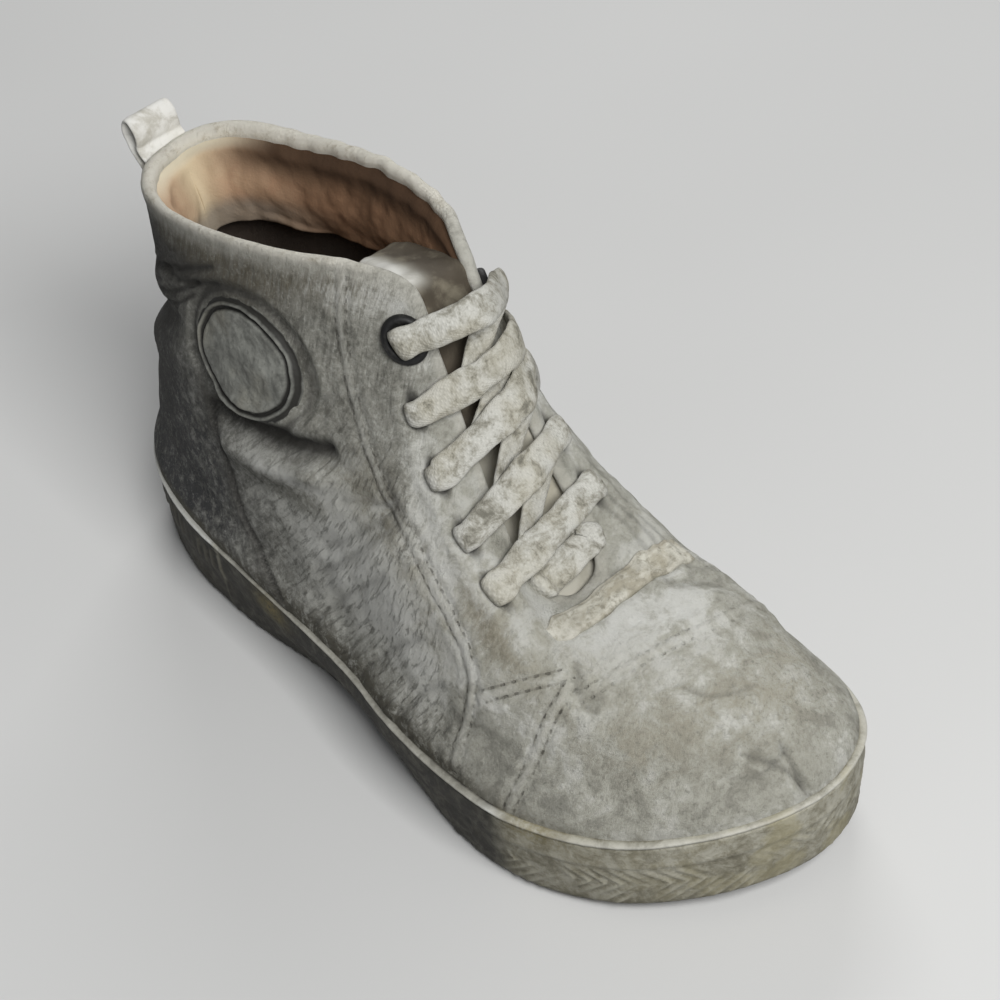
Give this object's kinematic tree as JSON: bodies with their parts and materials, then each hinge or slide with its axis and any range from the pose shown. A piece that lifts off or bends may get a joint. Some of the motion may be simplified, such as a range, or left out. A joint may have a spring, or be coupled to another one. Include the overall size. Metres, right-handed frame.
{
  "type": "worn ankle-high lace-up sneaker",
  "caption": "Worn ankle-high leather sneaker for the right foot, standing empty, with a flat lace, rubber foxing and treaded outsole.",
  "frame": {"origin": "on the ground, under the middle of the shoe's box", "axes": "toe towards -Y, up +Z, inner side of the foot +X, outer side -X"},
  "size_m": [0.0994, 0.2576, 0.1405],
  "materials": {
    "outsole_rubber": "dirty, worn matte",
    "foxing_rubber": "yellowed matte with grime",
    "insole_lining": "worn textile",
    "worn_leather": "creased, greyed, matte",
    "tongue_leather": "soft, matte",
    "strap_leather": "yellowed, matte",
    "eyelet_metal": "dark, worn",
    "lace_cotton": "flat woven cotton, greyed"
  },
  "bodies": {
    "root": {"outsole": "outsole_rubber", "foxing": "foxing_rubber", "insole": "insole_lining", "upper": "worn_leather", "tongue": "tongue_leather", "heel_counter": "worn_leather", "throat_band": "strap_leather", "badge": "worn_leather", "pull_loop": "strap_leather", "eyelet_outer": "eyelet_metal", "eyelet_inner": "eyelet_metal", "lace": "lace_cotton"}
  },
  "joints": []
}
